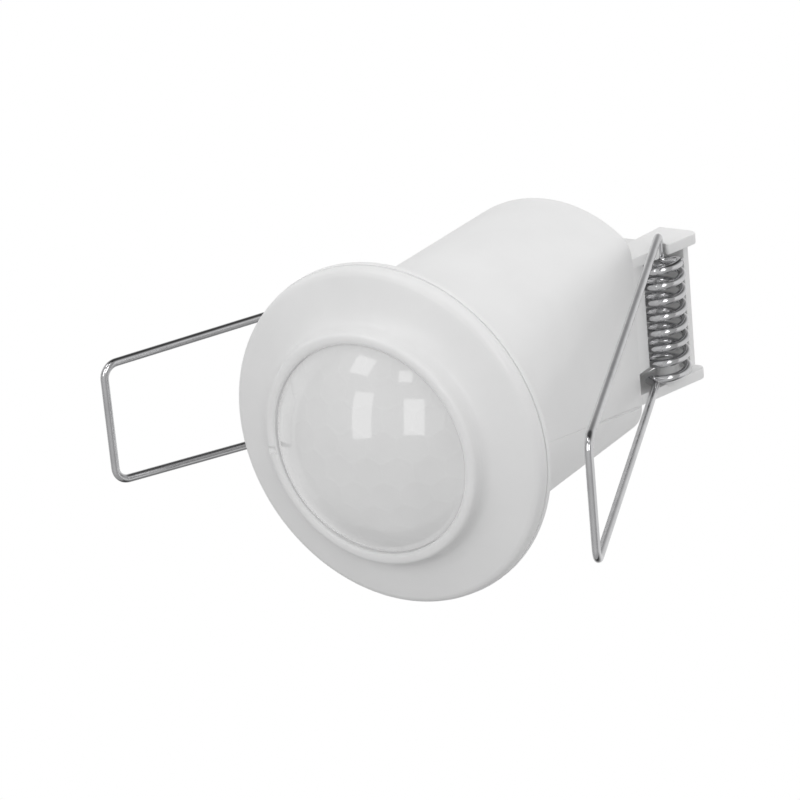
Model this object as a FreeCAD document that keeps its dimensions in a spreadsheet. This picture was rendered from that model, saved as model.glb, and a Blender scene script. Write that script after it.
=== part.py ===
import FreeCAD, Part
import math
import os

import Sketcher
from FreeCAD import Placement, Rotation, Vector

# A recessed ceiling motion sensor held by two sprung wire clips. Millimetres.
# +Z points up into the ceiling and the lens faces -Z. The origin is the centre of the flange's
# back face, which lies on the ceiling. The two clips are on the +X and -X sides.

SIZES = {
    # housing: a round tube whose two clip sides flatten towards the rear
    "flange_radius": 26.0,
    "lip_thickness": 1.0,
    "body_front_radius": 20.3,
    "body_radius": 20.1,
    "body_length": 46.7,
    "body_wall": 1.8,
    "rear_flat": 14.3,
    "rear_corner_radius": 4.8,
    "ledge_height": 5.7,
    "ledge_thickness": 1.5,
    "ledge_radius": 16.2,
    # clip brackets on the rear deck
    "lug_inner": 10.2,
    "lug_thickness": 1.7,
    "lug_reach": 18.3,
    "lug_root": 1.2,
    "lug_back_height": 5.3,
    "bracket_top": 60.8,
    "bracket_plate": 1.6,
    "plate_reach": 16.0,
    "bay_back": 10.2,
    "bay_wall": 1.3,
    "tab_top": 49.7,
    "tab_end": 6.8,
    "spigot_radius": 1.8,
    "spigot_length": 3.0,
    "pivot_x": 15.0,
    "pivot_z": 53.7,
    # spring clips
    "wire_radius": 0.625,
    "pin_clearance": 0.155,
    "slot_angle": 35.0,
    "coil_radius": 3.15,
    "coil_pitch": 2.5,
    "coil_turns": 7.2917,
    "coil_start": 9.3,
    "bail_length": 71.0,
    "right_bail_angle": 20.5,
    "left_bail_angle": 22.8,
    "pin_leg_root": 13.3,
    "pin_leg_tip": 9.4,
    "coil_leg_tip": 9.0,
    "coil_leg_root": 8.65,
    "bend_radius": 1.0,
    "tip_bend_radius": 2.2,
    # bezel and lens
    "bezel_radius": 25.75,
    "collar_radius": 17.8,
    "collar_front": 7.6,
    "lens_radius": 15.85,
    "lens_edge": 7.0,
    "lens_apex": 15.3,
    "lens_wall": 1.0,
    "lens_rim_radius": 16.9,
    "lens_rim": 1.0,
    "lens_seat": 5.1,
    "skirt_radius": 17.95,
    "skirt_top": 2.0,
    "running_gap": 0.15,
    "pry_notch_radius": 0.7,
    "pry_notch_angle": 8.0,
    "retainer_inner": 14.6,
    "retainer_thickness": 1.15,
    # boards
    "board_thickness": 1.6,
    "sensor_board_front": 4.0,
    "sensor_board_radius": 17.3,
    "power_board_half_width": 11.8,
    "power_board_front": 9.0,
    "power_board_rear": 43.5,
    # parts on the sensor board
    "can_radius": 4.6,
    "can_height": 4.3,
    "can_brim_radius": 5.0,
    "can_brim": 0.5,
    "window_half_length": 2.05,
    "window_half_width": 1.55,
    "window_depth": 0.4,
    "pin_pitch": 2.54,
    "pin_radius": 0.23,
    "pin_length": 3.0,
    "baffle_height": 4.4,
    "baffle_foot_radius": 5.4,
    "baffle_mouth_radius": 8.6,
    "baffle_wall": 0.8,
    "photocell_x": 11.4,
    "photocell_radius": 2.4,
    "photocell_height": 2.0,
    "photocell_lead_y": 1.2,
    "led_radius": 1.5,
    "led_length": 3.2,
    "led_brim": 0.6,
    "chip_half_length": 4.4,
    "chip_width": 3.9,
    "chip_y": 5.0,
    "header_y": 10.5,
    "header_pin_length": 7.6,
    # parts on the power board
    "relay_half_width": 9.0,
    "relay_depth": 14.2,
    "relay_front": 13.0,
    "relay_length": 15.0,
    "film_half_width": 8.8,
    "film_depth": 7.9,
    "film_front": 12.0,
    "film_length": 12.5,
    "filter_radius": 4.0,
    "filter_length": 11.0,
    "filter_x": 5.6,
    "filter_front": 27.0,
    "varistor_radius": 4.4,
    "varistor_thickness": 3.4,
    "varistor_x": 6.0,
    "varistor_z": 33.0,
    "fuse_half_length": 5.0,
    "fuse_radius": 1.6,
    "fuse_cap": 2.0,
    "fuse_z": 35.0,
    # terminals and their cover
    "pole_pitch": 5.0,
    "block_half_length": 7.7,
    "block_half_width": 5.5,
    "block_front": 45.0,
    "block_rear": 57.5,
    "cage_half": 1.9,
    "cover_half_length": 8.75,
    "cover_half_width": 9.8,
    "cover_rear": 59.5,
    "cover_wall": 1.3,
    "cover_side_wall": 0.95,
    "driver_radius": 2.0,
    "ear_y": 11.8,
    "ear_radius": 2.4,
    "ear_thickness": 1.6,
    "post_height": 6.0,
    "pilot_radius": 1.0,
    "screw_head_radius": 1.9,
    "screw_head": 1.3,
    "screw_radius": 0.95,
    "screw_length": 6.5,
    "entry_radius": 2.1,
    "entry_height": 52.2,
    # trimmers
    "trimmer_x": 6.3,
    "trimmer_y": 13.6,
    "knob_radius": 2.9,
    "knob_hole_radius": 3.2,
    "knob_top": 48.2,
    "knob_slot": 2.2,
    "trimmer_radius": 3.1,
    "trimmer_height": 5.0,
}

doc = FreeCAD.newDocument("motion_sensor")
sheet = doc.addObject("Spreadsheet::Sheet", "sizes")
for row, (alias, number) in enumerate(SIZES.items(), start=1):
    sheet.set(f"A{row}", alias)
    sheet.set(f"B{row}", str(number))
    sheet.setAlias(f"B{row}", alias)
doc.recompute()

nodes = []
ALONG_Z = Rotation()
ALONG_Y = Rotation(Vector(1, 0, 0), -90)
ALONG_X = Rotation(Vector(0, 1, 0), 90)
HALF_TURN = Rotation(Vector(0, 0, 1), 180)


# ---------------------------------------------------------------- sizes that carry expressions


class Size:
    """A length together with the spreadsheet expression that gives it."""

    def __init__(self, value, text):
        self.value = value
        self.text = text

    def __add__(self, other):
        other = sized(other)
        return Size(self.value + other.value, f"({self.text} + {other.text})")

    def __sub__(self, other):
        other = sized(other)
        return Size(self.value - other.value, f"({self.text} - {other.text})")

    def __mul__(self, factor):
        return Size(self.value * factor, f"({self.text} * {factor})")

    def __neg__(self):
        return Size(-self.value, f"(-1 * {self.text})")


def sized(number):
    return number if isinstance(number, Size) else Size(float(number), f"({float(number)})")


def cell(alias):
    return Size(float(SIZES[alias]), f"sizes.{alias}")


# ---------------------------------------------------------------- building blocks


def node(obj, label):
    """Marks an object as a finished sub-part, whose label names its file."""
    obj.Label = label
    nodes.append(obj)
    return obj


def place(obj, at, rotation=ALONG_Z):
    where = [sized(a) for a in at]
    obj.Placement = Placement(Vector(*[w.value for w in where]), rotation)
    for axis, size in zip("xyz", where):
        obj.setExpression(f"Placement.Base.{axis}", size.text)
    return obj


def cylinder(label, radius, length, at, rotation=ALONG_Z):
    obj = doc.addObject("Part::Cylinder", label)
    obj.setExpression("Radius", sized(radius).text)
    obj.setExpression("Height", sized(length).text)
    return place(obj, at, rotation)


def box(label, x, y, z):
    """A box between pairs of coordinates."""
    obj = doc.addObject("Part::Box", label)
    spans = [(sized(low), sized(high)) for low, high in (x, y, z)]
    for name, (low, high) in zip(("Length", "Width", "Height"), spans):
        obj.setExpression(name, (high - low).text)
    return place(obj, [low for low, _ in spans])


def fuse(label, shapes):
    obj = doc.addObject("Part::MultiFuse", label)
    obj.Shapes = shapes
    return obj


def group(label, shapes):
    """Separate solids that share one node."""
    obj = doc.addObject("Part::Compound", label)
    obj.Links = shapes
    return obj


def cut(label, base, tools):
    tool = tools[0] if len(tools) == 1 else fuse(label + "_tools", tools)
    obj = doc.addObject("Part::Cut", label)
    obj.Base = base
    obj.Tool = tool
    return obj


def new_body(label):
    return doc.addObject("PartDesign::Body", label)


def new_sketch(body, label, plane, offset=0):
    """A sketch on one of the body's own origin planes, moved along its normal."""
    sketch = body.newObject("Sketcher::SketchObject", label)
    feature = next(f for f in body.Origin.OriginFeatures if f.Role == plane)
    sketch.AttachmentSupport = [(feature, "")]
    sketch.MapMode = "FlatFace"
    sketch.setExpression("AttachmentOffset.Base.z", sized(offset).text)
    return sketch


def tie(sketch, geometry, end, x, y):
    """Ties one end of a line to the origin by bound distances."""
    for kind, size, axis in (("DistanceX", x, -2), ("DistanceY", y, -1)):
        if abs(size.value) < 1e-9:
            sketch.addConstraint(Sketcher.Constraint("PointOnObject", geometry, end, axis))
            continue
        ends = (-1, 1, geometry, end) if size.value > 0 else (geometry, end, -1, 1)
        index = sketch.addConstraint(Sketcher.Constraint(kind, *ends, abs(size.value)))
        sketch.setExpression(f"Constraints[{index}]", (size if size.value > 0 else -size).text)


def outline(sketch, corners):
    """A closed outline of straight sides through corners whose places are bound to the sheet."""
    corners = [(sized(x), sized(y)) for x, y in corners]
    points = [Vector(x.value, y.value, 0) for x, y in corners]
    first = sketch.GeometryCount
    for start, end in zip(points, points[1:] + points[:1]):
        sketch.addGeometry(Part.LineSegment(start, end))
    count = len(points)
    for side, (x, y) in enumerate(corners):
        following = first + (side + 1) % count
        sketch.addConstraint(Sketcher.Constraint("Coincident", first + side, 2, following, 1))
        tie(sketch, first + side, 1, x, y)


def disc(sketch, radius, x=0, y=0):
    radius, x, y = sized(radius), sized(x), sized(y)
    centre = Vector(x.value, y.value, 0)
    index = sketch.addGeometry(Part.Circle(centre, Vector(0, 0, 1), radius.value))
    constraint = sketch.addConstraint(Sketcher.Constraint("Radius", index, radius.value))
    sketch.setExpression(f"Constraints[{constraint}]", radius.text)
    tie(sketch, index, 3, x, y)


def pad(body, sketch, length, kind="PartDesign::Pad", midplane=False):
    feature = body.newObject(kind, sketch.Name + "_feature")
    feature.Profile = sketch
    if midplane:
        feature.SideType = "Symmetric"
    feature.setExpression("Length", sized(length).text)
    body.Tip = feature
    return feature


def turned(label, corners):
    """A body turned about Z from a profile of (radius, height) corners."""
    body = new_body(label)
    sketch = new_sketch(body, label + "_profile", "XZ_Plane")
    outline(sketch, corners)
    feature = body.newObject("PartDesign::Revolution", label + "_turn")
    feature.Profile = sketch
    feature.ReferenceAxis = (sketch, ["V_Axis"])
    feature.Angle = 360
    body.Tip = feature
    return body


def rounded_path(points, radii):
    """Lines and arcs through the points, with each inner corner rounded to its radius."""
    pieces = []
    start = points[0]
    for corner, following, radius in zip(points[1:], points[2:], radii):
        back = (start - corner).normalize()
        ahead = (following - corner).normalize()
        half_angle = back.getAngle(ahead) / 2
        tangent = radius / math.tan(half_angle)
        middle = (back + ahead).normalize()
        inset = radius / math.sin(half_angle) - radius
        bend = (corner + back * tangent, corner + middle * inset, corner + ahead * tangent)
        pieces.append(Part.LineSegment(start, bend[0]))
        pieces.append(Part.Arc(*bend))
        start = bend[2]
    pieces.append(Part.LineSegment(start, points[-1]))
    return pieces


# ---------------------------------------------------------------- housing


def round_section(sketch, radius, rear_corner_angle):
    """A circle broken at the same eight places as the flattened section."""
    near_axis = math.radians(2)
    quarter = [near_axis, rear_corner_angle]
    angles = quarter + [math.pi - a for a in reversed(quarter)]
    angles += [math.pi + a for a in quarter] + [2 * math.pi - a for a in reversed(quarter)]
    circle = Part.Circle(Vector(), Vector(0, 0, 1), radius.value)
    for start, end in zip(angles, angles[1:] + [angles[0] + 2 * math.pi]):
        index = sketch.addGeometry(Part.ArcOfCircle(circle, start, end))
        constraint = sketch.addConstraint(Sketcher.Constraint("Radius", index, radius.value))
        sketch.setExpression(f"Constraints[{constraint}]", radius.text)


def flattened_section(sketch, radius, flat, corner_radius):
    """A circle cut by a flat on each clip side, with rounded corners between flat and circle."""
    big, small = radius.value, corner_radius.value
    centre_x = flat.value - small
    centre_y = math.sqrt((big - small) ** 2 - centre_x**2)
    angle = math.atan2(centre_y, centre_x)
    circle = Part.Circle(Vector(), Vector(0, 0, 1), big)
    for side in (0, math.pi):
        turn = Rotation(Vector(0, 0, 1), math.degrees(side))
        lower = turn.multVec(Vector(flat.value, -centre_y, 0))
        upper = turn.multVec(Vector(flat.value, centre_y, 0))
        sketch.addGeometry(Part.LineSegment(lower, upper))
        corner = Part.Circle(turn.multVec(Vector(centre_x, centre_y, 0)), Vector(0, 0, 1), small)
        sketch.addGeometry(Part.ArcOfCircle(corner, side, side + angle))
        arc = sketch.addGeometry(Part.ArcOfCircle(circle, side + angle, side + math.pi - angle))
        constraint = sketch.addConstraint(Sketcher.Constraint("Radius", arc, big))
        sketch.setExpression(f"Constraints[{constraint}]", radius.text)
        corner = Part.Circle(turn.multVec(Vector(-centre_x, centre_y, 0)), Vector(0, 0, 1), small)
        sketch.addGeometry(Part.ArcOfCircle(corner, side + math.pi - angle, side + math.pi))
    return angle


def tube_loft(body, label, kind, inset, front, rear):
    """A loft from a circle at the front to the flattened section at the rear."""
    rear_sketch = new_sketch(body, label + "_rear", "XY_Plane", rear)
    corner = cell("rear_corner_radius") - inset * 0.5
    angle = flattened_section(
        rear_sketch, cell("body_radius") - inset, cell("rear_flat") - inset, corner
    )
    front_sketch = new_sketch(body, label + "_front", "XY_Plane", front)
    round_section(front_sketch, cell("body_front_radius") - inset, angle)
    feature = body.newObject(kind, label)
    feature.Profile = front_sketch
    feature.Sections = [rear_sketch]
    feature.Ruled = True
    body.Tip = feature


def lug_corners(side):
    """The side view of one lug: its outer edge slopes outwards towards the rear."""
    deck = cell("body_length")
    top = cell("bracket_top")
    corners = [
        (cell("bay_back") - cell("bay_wall"), deck - cell("lug_root")),
        (cell("rear_flat"), deck - cell("lug_root")),
        (cell("rear_flat"), deck),
        (cell("lug_reach") - 0.1, top - 1.4),
        (cell("lug_reach") - 0.4, top - 0.4),
        (cell("lug_reach") - 1.3, top),
        (cell("bay_back") + 1.0, top),
        (cell("bay_back") - 0.2, deck + cell("lug_back_height")),
        (cell("bay_back") - cell("bay_wall"), deck + cell("lug_back_height")),
    ]
    return [(x * side, z) for x, z in corners]


def slot_outline(sketch, side):
    """The slot that takes a clip's pin: round at the pivot and open at the lug's outer edge."""
    radius = SIZES["wire_radius"] + SIZES["pin_clearance"]
    pivot = Vector(side * SIZES["pivot_x"], SIZES["pivot_z"], 0)
    angle = SIZES["slot_angle"]
    mouth = math.radians(-angle if side > 0 else 180 + angle)
    past_edge = SIZES["lug_reach"] - SIZES["pivot_x"] + 2.5
    reach = Vector(math.cos(mouth), math.sin(mouth), 0) * past_edge
    across = Vector(-math.sin(mouth), math.cos(mouth), 0) * radius
    round_end = Part.Circle(pivot, Vector(0, 0, 1), radius)
    end = sketch.addGeometry(
        Part.ArcOfCircle(round_end, mouth + math.pi / 2, mouth + 3 * math.pi / 2)
    )
    constraint = sketch.addConstraint(Sketcher.Constraint("Radius", end, radius))
    bound = cell("wire_radius") + cell("pin_clearance")
    sketch.setExpression(f"Constraints[{constraint}]", bound.text)
    tie(sketch, end, 3, cell("pivot_x") * side, cell("pivot_z"))
    corners = [pivot - across, pivot - across + reach, pivot + across + reach, pivot + across]
    for start, finish in zip(corners, corners[1:]):
        sketch.addGeometry(Part.LineSegment(start, finish))


def housing():
    body = new_body("housing")
    rear = cell("body_length")
    wall = cell("body_wall")
    tube_loft(body, "tube", "PartDesign::AdditiveLoft", sized(0), sized(0), rear)

    lip = new_sketch(body, "lip", "XY_Plane", -cell("lip_thickness"))
    disc(lip, cell("flange_radius"))
    pad(body, lip, cell("lip_thickness"))

    tube_loft(
        body, "cavity", "PartDesign::SubtractiveLoft", wall, -cell("lip_thickness"), rear - wall
    )

    ledge = new_sketch(body, "board_ledge", "XY_Plane", cell("ledge_height"))
    disc(ledge, cell("body_radius") - 1.1)
    disc(ledge, cell("ledge_radius"))
    pad(body, ledge, cell("ledge_thickness"))

    for name, offset in (
        ("lugs_near", cell("lug_inner")),
        ("lugs_far", -cell("lug_inner") - cell("lug_thickness")),
    ):
        lugs = new_sketch(body, name, "XZ_Plane", offset)
        for side in (1, -1):
            outline(lugs, lug_corners(side))
        pad(body, lugs, cell("lug_thickness"))

    half_bay = cell("lug_inner") + 0.2
    walls = new_sketch(body, "bay_walls", "XY_Plane", rear - 1.0)
    plates = new_sketch(body, "bay_plates", "XY_Plane", cell("bracket_top") - cell("bracket_plate"))
    tabs = new_sketch(body, "tabs", "XY_Plane", rear - 1.0)
    bay_inner = cell("bay_back") - cell("bay_wall")
    tab_inner = cell("rear_flat") - 1.2
    for side in (1, -1):
        for sketch, low, high, end in (
            (walls, bay_inner, cell("bay_back"), half_bay),
            (plates, bay_inner, cell("plate_reach"), half_bay),
            (tabs, tab_inner, cell("rear_flat"), cell("tab_end")),
        ):
            corners = [(low, -half_bay), (high, -half_bay), (high, end), (low, end)]
            outline(sketch, [(x * side, y * side) for x, y in corners])
    pad(body, walls, cell("bracket_top") - rear + 1.0)
    pad(body, plates, cell("bracket_plate"))
    pad(body, tabs, cell("tab_top") - rear + 1.0)

    for name, side in (("right", 1), ("left", -1)):
        lug_outer = cell("lug_inner") + cell("lug_thickness")
        slot_start = lug_outer + 1.0 if side > 0 else -cell("lug_inner") + 1.0
        slot = new_sketch(body, f"{name}_pin_slot", "XZ_Plane", slot_start)
        slot_outline(slot, side)
        pad(body, slot, cell("lug_thickness") + 2.0, "PartDesign::Pocket")
        inner_face = cell("lug_inner") + 0.5
        reach = cell("spigot_length") + 0.5
        spigot_start = -inner_face if side > 0 else inner_face - reach
        spigot = new_sketch(body, f"{name}_spigot", "XZ_Plane", spigot_start)
        disc(spigot, cell("spigot_radius"), cell("pivot_x") * side, cell("pivot_z"))
        pad(body, spigot, reach)

    posts = new_sketch(body, "screw_posts", "XY_Plane", rear - wall - cell("post_height"))
    deck_holes = new_sketch(body, "deck_holes", "XY_Plane", rear + 1.0)
    for side in (1, -1):
        disc(posts, cell("ear_radius") - 0.1, 0, cell("ear_y") * side)
    pad(body, posts, cell("post_height") + 0.5)
    half_length = cell("block_half_length") + 0.3
    half_width = cell("block_half_width") + 0.5
    outline(
        deck_holes,
        [
            (-half_length, -half_width),
            (half_length, -half_width),
            (half_length, half_width),
            (-half_length, half_width),
        ],
    )
    for side in (1, -1):
        disc(deck_holes, cell("knob_hole_radius"), cell("trimmer_x") * side, -cell("trimmer_y"))
    pad(body, deck_holes, wall + 1.5, "PartDesign::Pocket")
    pilots = new_sketch(body, "pilot_holes", "XY_Plane", rear + 1.0)
    for side in (1, -1):
        disc(pilots, cell("pilot_radius"), 0, cell("ear_y") * side)
    pad(body, pilots, cell("post_height") + 1.0, "PartDesign::Pocket")
    node(body, "housing")


# ---------------------------------------------------------------- bezel and lens


def front_bezel():
    """The snap-on ring: a rounded rim, a shallow cone, a collar round the lens and a hidden skirt."""
    skirt_inner = cell("lens_rim_radius") + cell("running_gap")
    skirt_outer = cell("skirt_radius")
    lip = cell("lip_thickness")
    rim, collar, front = cell("bezel_radius"), cell("collar_radius"), cell("collar_front")
    lens_bore = cell("lens_radius") + 0.2
    profile = [
        (skirt_inner, cell("skirt_top")),
        (skirt_outer, cell("skirt_top")),
        (skirt_outer, -lip),
        (rim - 0.35, -lip),
        (rim, -lip - 0.35),
        (rim, -lip - 1.0),
        (rim - 0.25, -lip - 1.5),
        (rim - 0.8, -lip - 1.9),
        (rim - 1.55, -lip - 2.1),
        (collar + 2.4, -front + 3.3),
        (collar + 1.0, -front + 2.6),
        (collar + 0.35, -front + 1.75),
        (collar + 0.05, -front + 1.0),
        (collar - 0.1, -front + 0.45),
        (collar - 0.45, -front + 0.1),
        (collar - 0.9, -front),
        (lens_bore + 0.35, -front + 0.05),
        (lens_bore, -front + 0.35),
        (lens_bore, -cell("lens_seat") - 0.1),
        (skirt_inner, -cell("lens_seat") - 0.1),
    ]
    ring = turned("bezel_ring", profile)
    notch_radius = cell("pry_notch_radius")
    turn = Rotation(Vector(0, 0, 1), -SIZES["pry_notch_angle"])
    outside = turn.multVec(Vector(-SIZES["collar_radius"] - 0.8, 0, -SIZES["collar_front"]))
    notch = cylinder("pry_notch", notch_radius, 2.4, tuple(outside), turn * ALONG_X)
    node(cut("bezel_cut", ring, [notch]), "front_bezel")


def lens_dome():
    """A dome on a short straight wall: the curve is worked out from its edge and its apex."""
    edge, apex, wall = SIZES["lens_edge"], SIZES["lens_apex"], SIZES["lens_wall"]
    rim, seat = SIZES["lens_rim_radius"], SIZES["lens_seat"]
    rise = apex - edge
    sphere = (SIZES["lens_radius"] ** 2 + rise**2) / (2 * rise)
    centre = apex - sphere
    rim_rear = seat - SIZES["lens_rim"]
    inner_edge = centre + math.sqrt((sphere - wall) ** 2 - (SIZES["lens_radius"] - wall) ** 2)
    middle = math.radians(25)

    def dome_arc(radius, start):
        """The arc of one face of the dome, from a depth near its edge to its apex."""
        across = math.sqrt(radius**2 - (start - centre) ** 2)
        halfway = Vector(radius * math.sin(middle), -(centre + radius * math.cos(middle)), 0)
        return Part.Arc(Vector(across, -start, 0), halfway, Vector(0, -(centre + radius), 0))

    outer, inner = dome_arc(sphere, edge), dome_arc(sphere - wall, inner_edge)
    corners = [
        inner.StartPoint,
        Vector(inner.StartPoint.x, -rim_rear, 0),
        Vector(rim, -rim_rear, 0),
        Vector(rim, -seat, 0),
        Vector(outer.StartPoint.x, -seat, 0),
        outer.StartPoint,
    ]
    body = new_body("lens")
    sketch = new_sketch(body, "lens_profile", "XZ_Plane")
    for start, end in zip(corners, corners[1:]):
        sketch.addGeometry(Part.LineSegment(start, end))
    sketch.addGeometry(Part.LineSegment(outer.EndPoint, inner.EndPoint))
    for arc, radius in ((outer, sized(sphere)), (inner, sized(sphere) - cell("lens_wall"))):
        index = sketch.addGeometry(arc)
        constraint = sketch.addConstraint(Sketcher.Constraint("Radius", index, radius.value))
        sketch.setExpression(f"Constraints[{constraint}]", radius.text)
    feature = body.newObject("PartDesign::Revolution", "lens_turn")
    feature.Profile = sketch
    feature.ReferenceAxis = (sketch, ["V_Axis"])
    feature.Angle = 360
    body.Tip = feature
    node(body, "lens_dome")


def lens_retainer():
    """The ring that holds the lens's rim in the bezel from behind."""
    inner, outer = cell("retainer_inner"), cell("lens_rim_radius") + 0.05
    front = -cell("lens_seat") + cell("lens_rim") + 0.05
    rear = front + cell("retainer_thickness")
    ring = turned("retainer", [(inner, rear), (outer, rear), (outer, front), (inner, front)])
    node(ring, "lens_retainer")


# ---------------------------------------------------------------- sensing side


def round_pin_places(radius):
    """Three places round the axis, the first on +Y."""
    angles = [math.radians(120 * index + 90) for index in range(3)]
    return [(radius * math.cos(a), radius * math.sin(a)) for a in angles]


def header_places():
    pitch, count = SIZES["pin_pitch"], 5
    return [((index - (count - 1) / 2) * pitch, -SIZES["header_y"]) for index in range(count)]


def photocell_lead_places():
    return [(SIZES["photocell_x"], side * SIZES["photocell_lead_y"]) for side in (-1, 1)]


def detector():
    """The pyroelectric detector: a brimmed can with a filter window let into its front."""
    front = cell("sensor_board_front")
    can_front = front - cell("can_height")
    length, width = cell("window_half_length"), cell("window_half_width")
    depth, gap = cell("window_depth"), 0.05
    brim_front = front - cell("can_brim") - gap
    can = cylinder("can", cell("can_radius"), brim_front - can_front + gap, (0, 0, can_front))
    brim = cylinder("can_brim", cell("can_brim_radius"), cell("can_brim"), (0, 0, brim_front))
    recess = box(
        "window_recess",
        (-length - gap, length + gap),
        (-width - gap, width + gap),
        (can_front - gap, can_front + depth),
    )
    node(cut("can_cut", fuse("can_body", [can, brim]), [recess]), "infrared_detector")
    window = box(
        "window", (-length, length), (-width, width), (can_front + gap / 2, can_front + depth - gap / 2)
    )
    node(window, "detector_window")
    pins = [
        cylinder(f"detector_pin_{index}", cell("pin_radius"), cell("pin_length"), (x, y, front))
        for index, (x, y) in enumerate(round_pin_places(SIZES["pin_pitch"]))
    ]
    node(group("detector_pin_group", pins), "detector_pins")


def light_baffle():
    """The flared cone round the detector that keeps the indicator's light off it."""
    foot = cell("sensor_board_front") - 0.05
    mouth = foot - cell("baffle_height")
    inner, outer = cell("baffle_foot_radius"), cell("baffle_mouth_radius")
    profile = [
        (inner, foot),
        (inner + 1.8, foot),
        (outer, mouth),
        (outer - cell("baffle_wall"), mouth),
        (inner, foot - 1.0),
    ]
    node(turned("baffle", profile), "light_baffle")


def light_sensor():
    """The photocell that tells day from night, standing on two leads."""
    front = cell("sensor_board_front")
    height = cell("photocell_height")
    at = (cell("photocell_x"), 0, front - height - 1.2)
    head = cylinder("photocell_head", cell("photocell_radius"), height, at)
    leads = [
        cylinder(f"photocell_lead_{index}", cell("pin_radius"), 4.4, (x, y, front - 1.3))
        for index, (x, y) in enumerate(photocell_lead_places())
    ]
    node(fuse("photocell", [head] + leads), "light_sensor")


def indicator_led():
    """The round-nosed indicator lamp."""
    front = cell("sensor_board_front")
    x, length, brim = -cell("photocell_x"), cell("led_length"), cell("led_brim")
    nose = front - length - 0.05
    stem = cylinder("led_stem", cell("led_radius"), length, (x, 0, nose))
    tip = doc.addObject("Part::Sphere", "led_tip")
    tip.setExpression("Radius", cell("led_radius").text)
    place(tip, (x, 0, nose))
    base = cylinder("led_base", cell("led_radius") + 0.3, brim, (x, 0, front - brim - 0.05))
    node(fuse("led", [stem, tip, base]), "indicator_led")


def sensor_board():
    """The round board across the front, with its chip and the header to the power board."""
    front, thickness = cell("sensor_board_front"), cell("board_thickness")
    rear = front + thickness
    places = [(x, y, 0.35) for x, y in round_pin_places(SIZES["pin_pitch"]) + photocell_lead_places()]
    places += [(x, y, 0.45) for x, y in header_places()]
    plate = cylinder("board_disc", cell("sensor_board_radius"), thickness, (0, 0, front))
    holes = [
        cylinder(f"board_hole_{index}", radius, thickness + 2.0, (x, y, front - 1.0))
        for index, (x, y, radius) in enumerate(places)
    ]
    node(cut("sensor_board_cut", plate, holes), "sensor_board")

    stand_off = rear + 0.05
    half = cell("chip_half_length")
    chip_y = (cell("chip_y"), cell("chip_y") + cell("chip_width"))
    node(box("chip", (-half, half), chip_y, (stand_off, stand_off + 1.5)), "signal_chip")

    half_strip, centre = cell("pin_pitch") * 2.6, -cell("header_y")
    strip = box(
        "header_strip", (-half_strip, half_strip), (centre - 1.3, centre + 1.3), (stand_off, stand_off + 2.4)
    )
    pins = [
        cylinder(f"header_pin_{index}", 0.32, cell("header_pin_length"), (x, y, front - 0.8))
        for index, (x, y) in enumerate(header_places())
    ]
    node(fuse("header", [strip] + pins), "board_header")


# ---------------------------------------------------------------- power side


def power_board():
    half = cell("power_board_half_width")
    faces = (-cell("board_thickness"), 0)
    span = (cell("power_board_front"), cell("power_board_rear"))
    node(box("power_plate", (-half, half), faces, span), "power_board")


def relay():
    """The sealed mains relay on the board's +Y face."""
    half, low, height = cell("relay_half_width"), cell("relay_front"), cell("relay_length")
    case = box("relay_case", (-half, half), (0.6, cell("relay_depth")), (low, low + height))
    base = box("relay_base", (-half + 0.4, half - 0.4), (0.05, 0.6), (low + 0.4, low + height - 0.4))
    node(fuse("relay_body", [case, base]), "relay")


def film_capacitor():
    """The capacitor that drops the mains voltage, on the board's -Y face."""
    face = -cell("board_thickness") - 0.1
    half, low = cell("film_half_width"), cell("film_front")
    span = (low, low + cell("film_length"))
    node(box("film_case", (-half, half), (face - cell("film_depth"), face), span), "film_capacitor")


def filter_capacitor():
    """The round electrolytic can, with a ring at its end."""
    radius, length = cell("filter_radius"), cell("filter_length")
    at = (cell("filter_x"), -cell("board_thickness") - radius - 0.6, cell("filter_front"))
    can = cylinder("filter_can", radius, length, at)
    ring = cylinder("filter_ring", radius - 0.4, 0.6, (at[0], at[1], at[2] + length - 0.2))
    node(fuse("filter_body", [can, ring]), "filter_capacitor")


def varistor():
    thickness = cell("varistor_thickness")
    at = (-cell("varistor_x"), -cell("board_thickness") - thickness - 0.5, cell("varistor_z"))
    node(cylinder("varistor_disc", cell("varistor_radius"), thickness, at, ALONG_Y), "varistor")


def fuse_link():
    """A glass tube between two end caps, lying across the board."""
    half, radius, height = cell("fuse_half_length"), cell("fuse_radius"), cell("fuse_z")
    cap, off_board = cell("fuse_cap"), cell("fuse_radius") + 0.7
    glass = cylinder("fuse_tube", radius, half * 2 - cap, (-half + cap * 0.5, off_board, height), ALONG_X)
    caps = [
        cylinder(f"fuse_cap_{index}", radius + 0.3, cap, (x, off_board, height), ALONG_X)
        for index, x in enumerate((-half, half - cap))
    ]
    node(fuse("fuse_body", [glass] + caps), "fuse")


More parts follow.
